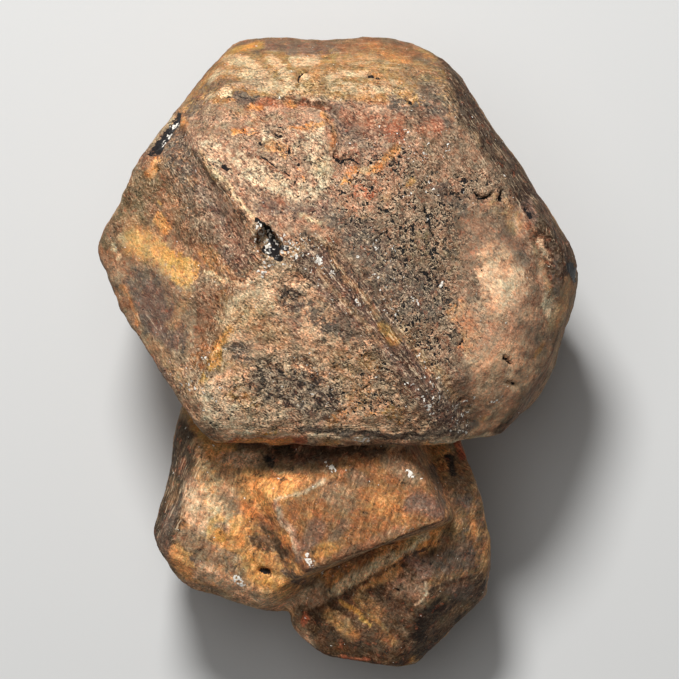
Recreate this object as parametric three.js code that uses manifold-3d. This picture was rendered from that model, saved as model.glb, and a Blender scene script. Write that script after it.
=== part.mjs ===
// A betafite crystal group, in millimetres, +Z up. One large crystal and three smaller ones grew into each
// other, so the group is one solid. It lies on the flat back of its main crystal, at z = 0, and its length
// runs along Y. Last of all, the group is moved until the origin is under the middle of its box.
//
// Each crystal is first the space inside its flat faces. Its edges are then rounded, as the edges of altered
// crystals are, and its skin is given the swells, troughs and hollows of uneven growth. Last, the crystals
// are joined, and breaks and pits are cut into them.

import * as THREE from "three";
import { ImprovedNoise } from "three/addons/math/ImprovedNoise.js";
import { mergeVertices } from "three/addons/utils/BufferGeometryUtils.js";
import Module from "manifold-3d";

const wasm = await Module();
wasm.setup();

// ---- Driving dimensions ----

const MAIN_HEIGHT = 33; // from the resting face to the top of the main crystal
const HALF_HEIGHT = MAIN_HEIGHT / 2;
const BURIED = 0.6; // how far the resting faces reach below z = 0 before they are cut flat there

// A face is [azimuth of its normal, tilt of its normal from +Z, distance from the crystal's centre].
// Azimuths turn from +X towards +Y, and angles are in degrees. A girdle face is nearly upright.
// rounding is the scale of the rounding of the edges between them.

const MAIN_CRYSTAL = {
  centre: [0, 9, HALF_HEIGHT],
  rounding: 0.34,
  faces: {
    frontLower: [-98, 21, 15.9],
    frontLeft: [194, 36, 17.0],
    frontUpper: [75, 21, 14.9],
    frontRight: [6, 23, 14.2],
    lowerBevel: [-91, 50, 18.4],
    upperBand: [88, 56, 15.7],
    upperLeftBand: [132, 62, 18.3],
    rightBand: [31, 62, 16.8],
    rightShoulder: [-12, 50, 17.9],
    lowerRightShoulder: [-46, 52, 19.4],
    girdleLeftUpper: [150, 96, 16.3],
    girdleTopLeft: [140, 96, 16.7],
    girdleTop: [90, 98, 16.2],
    girdleTopRight: [60, 98, 16.9],
    girdleRightUpper: [34, 98, 15.0],
    girdleRight: [-16, 88, 20.2],
    girdleRightLower: [-34, 83, 20.7],
    girdleBottom: [-90, 104, 14.7],
    girdleLeftLower: [215, 97, 17.2],
    girdleLeftTip: [200, 96, 18.4],
    backUpper: [90, 143, 18.4],
    backUpperLeft: [150, 134, 17.8],
    backUpperRight: [30, 137, 17.6],
    backRight: [-25, 138, 18.6],
    backLower: [-92, 140, 18.2],
    backLeft: [205, 136, 18.4],
    rest: [0, 180, HALF_HEIGHT + BURIED],
  },
};

const LEFT_CRYSTAL = {
  centre: [-7.5, -13.3, 11],
  rounding: 0.22,
  faces: {
    front: [249, 15, 8.25],
    frontTop: [93, 39, 9.4],
    sideLeft: [162, 58, 9.0],
    girdleLeft: [167, 95, 7.0],
    girdleLowerLeft: [208, 94, 7.8],
    girdleLower: [249, 96, 7.6],
    lowerBevel: [248, 54, 9.0],
    lowerRight: [-60, 75, 8.8],
    right: [-15, 80, 8],
    top: [90, 84, 14.5],
    back: [60, 156, 8.6],
    backLeft: [190, 138, 8.2],
    backLower: [270, 140, 8.2],
    backRight: [-30, 138, 8.2],
  },
};

const RHOMBIC_CRYSTAL = {
  centre: [1, -13.5, 16],
  rounding: 0.14,
  faces: {
    front: [242, 6.5, 5.9],
    lowerLeft: [207, 59, 7.45],
    lowerRight: [-69, 85, 3.95],
    right: [29, 76, 7.9],
    farRight: [5, 88, 8.6],
    upperLeft: [117, 35, 7.0],
    farLeft: [190, 92, 7.5],
    top: [95, 80, 9],
    back: [0, 180, 7],
  },
};

const LOWER_RIGHT_CRYSTAL = {
  centre: [5, -17.7, 9.5],
  rounding: 0.24,
  faces: {
    front: [242, 28, 7.05],
    frontRight: [-22, 34, 8.2],
    frontLowerRight: [-52, 55, 7.6],
    frontUpperLeft: [149, 37, 6.6],
    frontUpper: [70, 48, 11],
    girdleRightUpper: [16, 92, 7.9],
    girdleRight: [-4, 93, 7.6],
    girdleLowerRight: [-43, 96, 7.4],
    girdleLower: [-98, 97, 8.8],
    girdleLowerLeft: [234, 96, 10.1],
    top: [90, 88, 17],
    left: [180, 92, 9],
    back: [20, 156, 8.4],
    backLower: [-80, 142, 8.2],
    backLeft: [200, 142, 8.6],
  },
};

// Relief of the front side: [path of [x, y] points, width, height]. One point makes a round swell and several
// make a seam. A height below zero makes a hollow or a trough.
const FRONT_RELIEF = [
  [[[-3.9, 16.1]], 4.0, 0.75], // raised patch of the upper face
  [[[-6.5, 18.7], [-5.1, 19.7], [-3.1, 20.0], [-1.1, 19.5], [0, 18.3], [0.4, 16.2]], 0.8, -0.6], // groove round it
  [[[1.7, 18.1]], 1.6, -0.6], // smooth hollow beside the groove
  [[[-13.2, 18.9], [-9.9, 14.1], [-6.4, 9.3]], 0.6, 0.3], // crest of the long ridge
  [[[-12.9, 16.8], [-11.1, 13.1], [-8.6, 8.7]], 0.9, -0.75], // trough beside it
  [[[-14.6, 9.2]], 3.0, -0.8], // hollow of the left face
  [[[-17.0, 7.3], [-14.9, 7.0], [-12.6, 4.4]], 0.9, 0.5], // lip under the hollow
  [[[-10.9, 9.0], [-7.8, 5.2]], 0.8, 0.4],
  [[[13.9, 3.9]], 3.8, 0.6], // swelling of the right face
  [[[15.6, 11.1], [17.3, 8.4], [17.8, 6.4], [17.3, 4.6]], 0.8, 0.5], // rib inside the right rim
  [[[14.4, 10.4], [16.0, 8.0], [16.4, 6.2]], 0.8, -0.35], // trough inside the rib
  [[[11.5, 12.7]], 1.0, 0.45],
  [[[-4.3, -2.6]], 2.6, -0.45], // rough hollow of the lower face
  [[[-0.2, 7.2], [6.0, 0.4], [10.8, -5.8]], 0.9, -0.4], // trough beside the lower right ridge
  [[[1.8, 24.8]], 3.0, 0.5], // bulge of the top edge
  [[[-9.6, -16.2]], 2.6, 0.4], // swelling of the left crystal
];

// Relief of uneven growth, all over.
const BROAD_SWELL = { scale: 5.5, height: 0.32 };
const FINE_SWELL = { scale: 2.3, height: 0.14 };

// The crust that sticks out under the main crystal's lower edge.
const CRUST = { centre: [-5.2, -7.3, 23], halves: [2.2, 0.85, 0.9], turn: 0 };

const BREAKS = [
  { centre: [-5.7, 8.6, 32.1], halves: [1.0, 1.7, 1.3], turn: 25 }, // pitch-black break at the top
  { centre: [-14.2, 19.1, 20.5], halves: [0.7, 2.0, 1.9], turn: -38 }, // chip in the upper left edge
  { centre: [20.3, 6.4, 18.5], halves: [0.9, 0.6, 2.2], turn: 0 }, // chip in the right tip
  { centre: [0.7, 15.2, 30.2], halves: [0.9, 0.3, 0.6], turn: -12 },
  { centre: [-2.7, 22.6, 24.9], halves: [0.5, 0.35, 0.6], turn: 0 },
  { centre: [11.8, 12.1, 27.3], halves: [0.9, 0.3, 0.6], turn: 8 },
  { centre: [-9.2, 20.3, 27.1], halves: [0.7, 0.3, 0.6], turn: 10 },
  { centre: [-6.4, -18.7, 18.0], halves: [0.5, 0.3, 0.5], turn: -20 }, // oval pit of the left crystal
];

// Facets are small along edges and relief, and grow with the distance from them.
const EDGE_FACET = 2.2;
const SEAM_FACET = 1.5; // for a seam of width 1
const FACET_GROWTH = 0.5;
const WIDEST_FACET = 4;

// ---- Crystal shapes ----

const radians = THREE.MathUtils.degToRad;
const UP = new THREE.Vector3(0, 0, 1);
const ON_FACE = 1e-6;
const SAME_CORNER = 0.4;

function facePlane([azimuth, tilt, distance]) {
  const normal = new THREE.Vector3(
    Math.sin(radians(tilt)) * Math.cos(radians(azimuth)),
    Math.sin(radians(tilt)) * Math.sin(radians(azimuth)),
    Math.cos(radians(tilt)),
  );
  return { normal, distance };
}

// The point where three planes meet, or null where two of them are nearly parallel.
function meetingPoint(a, b, c) {
  const bc = new THREE.Vector3().crossVectors(b.normal, c.normal);
  const ca = new THREE.Vector3().crossVectors(c.normal, a.normal);
  const ab = new THREE.Vector3().crossVectors(a.normal, b.normal);
  const volume = a.normal.dot(bc);
  if (Math.abs(volume) < 1e-4) return null;
  return bc
    .multiplyScalar(a.distance)
    .addScaledVector(ca, b.distance)
    .addScaledVector(ab, c.distance)
    .divideScalar(volume);
}

// The points where three faces meet that no other face cuts off.
function corners(planes) {
  const found = [];
  planes.forEach((a, i) =>
    planes.slice(i + 1).forEach((b, j) =>
      planes.slice(i + j + 2).forEach((c) => {
        const point = meetingPoint(a, b, c);
        const inside =
          point && planes.every((p) => p.normal.dot(point) < p.distance + ON_FACE);
        if (inside) found.push(point);
      }),
    ),
  );
  return found;
}

// The faces as fans of triangles round their middles. Corners that nearly coincide become one.
function faceTriangles(planes) {
  const exact = corners(planes);
  const snapped = exact.map((corner) =>
    exact.find((other) => other.distanceTo(corner) < SAME_CORNER),
  );
  return planes.flatMap(({ normal, distance }) => {
    const onFace = exact.map((c) => distance - normal.dot(c) < ON_FACE);
    const rim = [...new Set(snapped.filter((_, i) => onFace[i]))];
    if (rim.length < 3) return [];
    const middle = rim
      .reduce((sum, corner) => sum.add(corner), new THREE.Vector3())
      .divideScalar(rim.length);
    const upright = new THREE.Quaternion().setFromUnitVectors(normal, UP);
    const angle = (corner) => {
      const arm = corner.clone().sub(middle).applyQuaternion(upright);
      return Math.atan2(arm.y, arm.x);
    };
    rim.sort((one, other) => angle(one) - angle(other));
    return rim.map((corner, i) => [middle, corner, rim[(i + 1) % rim.length]]);
  });
}

// How far a point is outside the crystal, with the edges rounded, and the outward normal there.
function roundedField(planes, rounding, point) {
  const depths = planes.map((p) => p.normal.dot(point) - p.distance);
  const nearest = Math.max(...depths);
  const weights = depths.map((d) => Math.exp((d - nearest) / rounding));
  const total = weights.reduce((sum, w) => sum + w, 0);
  const normal = new THREE.Vector3();
  planes.forEach((p, i) => normal.addScaledVector(p.normal, weights[i] / total));
  return { outside: nearest + rounding * Math.log(total), normal };
}

const NEWTON_STEPS = 6;

// Slides a point outwards, along the line from the crystal's centre, until it is on the rounded surface.
function ontoSurface(planes, rounding, start) {
  const outwards = start.clone().normalize();
  const point = start.clone();
  const normal = new THREE.Vector3();
  for (let step = 0; step < NEWTON_STEPS; step++) {
    const field = roundedField(planes, rounding, point);
    normal.copy(field.normal);
    point.addScaledVector(outwards, -field.outside / normal.dot(outwards));
  }
  return { point, normal: normal.normalize() };
}

// ---- Relief ----

const noise = new ImprovedNoise();

function noiseAt(point, { scale, height }) {
  return (
    height * noise.noise(point.x / scale, point.y / scale, point.z / scale)
  );
}

// The distance from a point to a path, seen from above.
function distanceToPath(path, point) {
  const flat = new THREE.Vector3(point.x, point.y, 0);
  const stops = path.map(([x, y]) => new THREE.Vector3(x, y, 0));
  const nearest = new THREE.Vector3();
  const gaps = stops.map((stop, i) => {
    const next = stops[Math.min(i + 1, stops.length - 1)];
    new THREE.Line3(stop, next).closestPointToPoint(flat, true, nearest);
    return nearest.distanceTo(flat);
  });
  return Math.min(...gaps);
}

function relief(point, normal) {
  const frontness = THREE.MathUtils.smoothstep(normal.z, -0.1, 0.4);
  const shaped = FRONT_RELIEF.reduce(
    (sum, [path, width, height]) =>
      sum + height * Math.exp(-((distanceToPath(path, point) / width) ** 2)),
    0,
  );
  return (
    frontness * shaped +
    noiseAt(point, BROAD_SWELL) +
    noiseAt(point, FINE_SWELL)
  );
}

// ---- Facets ----

// The distance from a point on the faces to the nearest edge between two of them.
function distanceToEdge(planes, point) {
  const depths = planes
    .map((p) => p.distance - p.normal.dot(point))
    .sort((a, b) => a - b);
  return depths[1];
}

// The longest that a facet's side may be at a point on the faces.
function facetLimit(planes, middle, point) {
  const placed = point.clone().add(middle);
  const edgeLimit = EDGE_FACET + FACET_GROWTH * distanceToEdge(planes, point);
  const seamLimits = FRONT_RELIEF.map(([path, width]) => {
    const gap = Math.max(distanceToPath(path, placed) - width, 0);
    return SEAM_FACET * width + FACET_GROWTH * gap;
  });
  const frontLimit = point.z > 0 ? Math.min(...seamLimits) : Infinity;
  return Math.min(edgeLimit, frontLimit, WIDEST_FACET);
}

// Halves every side that is too long for its place. Neighbours share sides, so they are halved alike.
function refined(triangles, limitAt) {
  const waiting = [...triangles];
  const done = [];
  while (waiting.length > 0) {
    const [a, b, c] = waiting.pop();
    const sides = [
      [a, b, c],
      [b, c, a],
      [c, a, b],
    ].map(([from, to, opposite]) => {
      const half = from.clone().add(to).multiplyScalar(0.5);
      const excess = from.distanceTo(to) / limitAt(half);
      return { from, to, opposite, half, excess };
    });
    const { from, to, opposite, half, excess } = sides.reduce((one, other) =>
      other.excess > one.excess ? other : one,
    );
    if (excess <= 1) done.push([a, b, c]);
    else waiting.push([from, half, opposite], [half, to, opposite]);
  }
  return done;
}

function crystalGeometry({ centre, rounding, faces }) {
  const planes = Object.values(faces).map(facePlane);
  const middle = new THREE.Vector3(...centre);
  const limitAt = (point) => facetLimit(planes, middle, point);
  const facets = refined(faceTriangles(planes), limitAt);
  const geometry = mergeVertices(
    new THREE.BufferGeometry().setFromPoints(facets.flat()),
    1e-4,
  );
  const positions = geometry.getAttribute("position");
  for (let i = 0; i < positions.count; i++) {
    const start = new THREE.Vector3().fromBufferAttribute(positions, i);
    const { point, normal } = ontoSurface(planes, rounding, start);
    point.add(middle);
    point.addScaledVector(normal, relief(point, normal));
    positions.setXYZ(i, point.x, point.y, point.z);
  }
  return geometry;
}

// ---- Joining and cutting ----

function solidOf(geometry) {
  return new wasm.Manifold(
    new wasm.Mesh({
      numProp: 3,
      vertProperties: geometry.getAttribute("position").array,
      triVerts: new Uint32Array(geometry.index.array),
    }),
  );
}

function geometryOf(solid) {
  const mesh = solid.getMesh();
  const geometry = new THREE.BufferGeometry();
  geometry.setAttribute(
    "position",
    new THREE.BufferAttribute(mesh.vertProperties, mesh.numProp),
  );
  geometry.setIndex(new THREE.BufferAttribute(mesh.triVerts, 1));
  geometry.computeVertexNormals();
  return geometry;
}

function cutter(geometry) {
  geometry.deleteAttribute("normal");
  geometry.deleteAttribute("uv");
  return solidOf(mergeVertices(geometry, 1e-4));
}

// A block that is everything below the surface that the group rests on.
function belowTheSurface() {
  return cutter(new THREE.BoxGeometry(200, 200, 50).translate(0, 0, -25));
}

// A rough lump, to add as crust or to cut out as a break.
function lump({ centre, halves, turn }) {
  const shape = new THREE.IcosahedronGeometry(1, 0)
    .rotateX(0.4)
    .scale(...halves)
    .rotateZ(radians(turn))
    .translate(...centre);
  return cutter(shape);
}

const crystals = [
  MAIN_CRYSTAL,
  LEFT_CRYSTAL,
  RHOMBIC_CRYSTAL,
  LOWER_RIGHT_CRYSTAL,
].map((crystal) => solidOf(crystalGeometry(crystal)));
const joined = [...crystals, lump(CRUST)].reduce((whole, piece) =>
  whole.add(piece),
);
const finished = [belowTheSurface(), ...BREAKS.map(lump)].reduce(
  (whole, cut) => whole.subtract(cut),
  joined,
);

// ---- The group ----

const specimen = new THREE.Mesh(
  geometryOf(finished),
  new THREE.MeshStandardMaterial({
    color: 0x8a6a4c,
    roughness: 0.75,
    metalness: 0,
  }),
);
specimen.name = "betafite_group";
const middle = new THREE.Box3()
  .setFromObject(specimen)
  .getCenter(new THREE.Vector3());
specimen.position.set(-middle.x, -middle.y, 0);

const group = new THREE.Group();
group.add(specimen);

export default group;
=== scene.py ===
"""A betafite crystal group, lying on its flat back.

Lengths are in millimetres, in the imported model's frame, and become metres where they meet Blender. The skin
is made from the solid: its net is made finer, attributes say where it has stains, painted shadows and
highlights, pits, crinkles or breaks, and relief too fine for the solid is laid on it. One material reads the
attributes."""

import bmesh
import bpy
import numpy as np
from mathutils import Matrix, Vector, noise


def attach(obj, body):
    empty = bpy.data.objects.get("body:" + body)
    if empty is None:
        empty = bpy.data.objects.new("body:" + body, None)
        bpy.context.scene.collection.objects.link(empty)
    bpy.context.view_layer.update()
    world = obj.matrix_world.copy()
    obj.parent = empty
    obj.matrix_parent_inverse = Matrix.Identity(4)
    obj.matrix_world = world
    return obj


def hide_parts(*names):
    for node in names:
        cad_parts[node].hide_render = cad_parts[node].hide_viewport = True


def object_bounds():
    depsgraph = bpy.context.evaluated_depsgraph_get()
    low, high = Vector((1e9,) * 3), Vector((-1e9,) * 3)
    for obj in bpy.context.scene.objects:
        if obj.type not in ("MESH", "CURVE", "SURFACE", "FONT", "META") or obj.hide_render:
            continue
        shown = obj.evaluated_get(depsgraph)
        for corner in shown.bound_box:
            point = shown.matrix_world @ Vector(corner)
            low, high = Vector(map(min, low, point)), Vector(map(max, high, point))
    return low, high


MM = 0.001
NODE = "betafite_group"

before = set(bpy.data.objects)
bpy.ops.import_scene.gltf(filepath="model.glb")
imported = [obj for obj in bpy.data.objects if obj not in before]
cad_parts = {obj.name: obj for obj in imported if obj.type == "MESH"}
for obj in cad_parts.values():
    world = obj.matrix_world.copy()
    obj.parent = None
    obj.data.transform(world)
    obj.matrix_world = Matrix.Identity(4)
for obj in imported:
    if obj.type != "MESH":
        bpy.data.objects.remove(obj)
CAD_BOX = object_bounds()

# ---- Camera ----

# The middle plane of the group is seen from straight above, with +Y up.
MIDDLE_PLANE = 16.0
VIEW_WIDTH = 56.7
VIEW_DISTANCE = 400.0
VIEW_CENTRE = (-0.03, 1.25)
SENSOR = 36.0


def make_camera():
    data = bpy.data.cameras.new("overhead_camera")
    data.sensor_width = SENSOR
    data.lens = SENSOR * VIEW_DISTANCE / VIEW_WIDTH
    data.clip_start = 10 * MM
    camera = bpy.data.objects.new("overhead_camera", data)
    camera.location = Vector((*VIEW_CENTRE, MIDDLE_PLANE + VIEW_DISTANCE)) * MM
    bpy.context.scene.collection.objects.link(camera)
    bpy.context.scene.camera = camera


# ---- Colours of the mineral, linear ----

COLOURS = {
    "cream": (0.74, 0.53, 0.31),
    "bone": (0.76, 0.57, 0.37),
    # White of the painted glints and of the crust
    "glint_and_crust_white": (0.95, 0.88, 0.77),
    "straw": (0.40, 0.215, 0.072),
    "tan": (0.46, 0.28, 0.14),
    "ochre": (0.66, 0.33, 0.07),
    "orange": (0.80, 0.34, 0.10),
    "ginger": (0.33, 0.145, 0.052),
    "rust": (0.36, 0.13, 0.06),
    "brick": (0.50, 0.13, 0.055),
    "pink": (0.435, 0.247, 0.157),
    "drab": (0.35, 0.22, 0.13),
    "umber": (0.20, 0.115, 0.065),
    "olive": (0.20, 0.13, 0.065),
    "slate": (0.14, 0.098, 0.074),
    "plum": (0.20, 0.115, 0.085),
    "sepia": (0.07, 0.036, 0.018),
    "clay": (0.73, 0.45, 0.268),
    "buff": (0.337, 0.173, 0.088),
    "walnut": (0.285, 0.175, 0.112),
    "honey": (0.72, 0.35, 0.12),
    "amber": (0.68, 0.38, 0.12),
    "russet": (0.80, 0.32, 0.097),
    "bronze": (0.265, 0.139, 0.058),
    "moss": (0.045, 0.025, 0.0105),
    "peat": (0.045, 0.019, 0.009),
    "bistre": (0.064, 0.023, 0.005),
    "char": (0.0195, 0.009, 0.004),
    "pitch": (0.012, 0.010, 0.010),
}

# ---- Grounds, stains, painted shadows and painted highlights of the front, seen from above ----

# The ground of each crystal face, (colour, corners)
GROUNDS = [
    # Main crystal
    (
        "pink",
        [(-13.2, 19.4), (-4, 21), (7, 20.3), (9.6, 19.3), (3, 12), (-1.5, 8.2), (-5.6, 8.8), (-9, 13.2)],
    ),
    ("walnut", [(9.6, 19.5), (15, 12), (17.2, 4.6), (15.2, -3), (9.8, -6), (4.8, 0.4), (-1.5, 8.1), (3, 12)]),
    ("clay", [(-5.6, 8.8), (-1.5, 8.1), (4.8, 0.4), (9.8, -6), (8, -7), (-9.6, -7), (-11, -3), (-8.2, 5)]),
    ("buff", [(-13.4, 19), (-5.8, 8.7), (-8.2, 5), (-11.8, 6.8), (-19.8, 7.5), (-19.6, 10.5), (-16.5, 14.5)]),
    ("drab", [(-8.2, 5), (-9.2, 1.5), (-11, -3), (-10, -6.8), (-16.5, 3), (-19.9, 8), (-11.8, 6.8)]),
    ("straw", [(-13.2, 19.6), (-4, 21.1), (7, 20.4), (9.2, 21.2), (8, 25), (0, 26.5), (-9, 26.5), (-12, 22)]),
    # The upper right band: its peat ground is partly painted shade on the side turned away from the light
    ("peat", [(7, 26), (9.2, 21.2), (9.6, 19.5), (15, 12), (17.4, 5), (20, 6), (18.5, 11), (11, 24)]),
    ("drab", [(17.2, 4.6), (16.4, 0.8), (15.2, -3), (12.4, -5.8), (12.5, -8), (18.5, -2), (20, 6)]),
    # Left crystal
    ("honey", [(-11.3, -7), (-14.2, -14.6), (-14, -18), (-4, -22), (-2.8, -18), (-8.4, -10.6), (-8.6, -7)]),
    ("moss", [(-15, -3), (-11.3, -8.2), (-12.6, -11), (-14.2, -14.6), (-15.5, -17), (-16.5, -10)]),
    ("russet", [(-7.2, -12.6), (-5.2, -12.4), (-2.8, -17), (-4.4, -17.4)]),
    # Rhombic crystal
    ("ginger", [(-1.2, -10), (-5.3, -12.3), (-2.6, -17.2), (8.7, -13.2), (6.3, -8), (2, -7.5)]),
    ("orange", [(-8.4, -10.4), (-5.4, -12.4), (-1.2, -10), (-3, -9.6)]),
    ("honey", [(6.3, -7), (8.7, -13.2), (9.6, -12), (8.8, -7)]),
    # Lower right crystal
    ("orange", [(-3, -18.2), (8.7, -13.7), (8.2, -16), (0, -20)]),
    ("bistre", [(0, -20), (8, -16), (8.5, -17), (6.9, -20), (6, -26.5), (-1, -26.5), (-4, -21)]),
    ("bronze", [(8.9, -13.2), (9.4, -7), (12, -8), (12.8, -18.4), (7.3, -19.7)]),
    ("char", [(7.2, -19.8), (12.5, -18.6), (11, -23), (6.5, -26), (5.6, -24.5)]),
]
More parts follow.
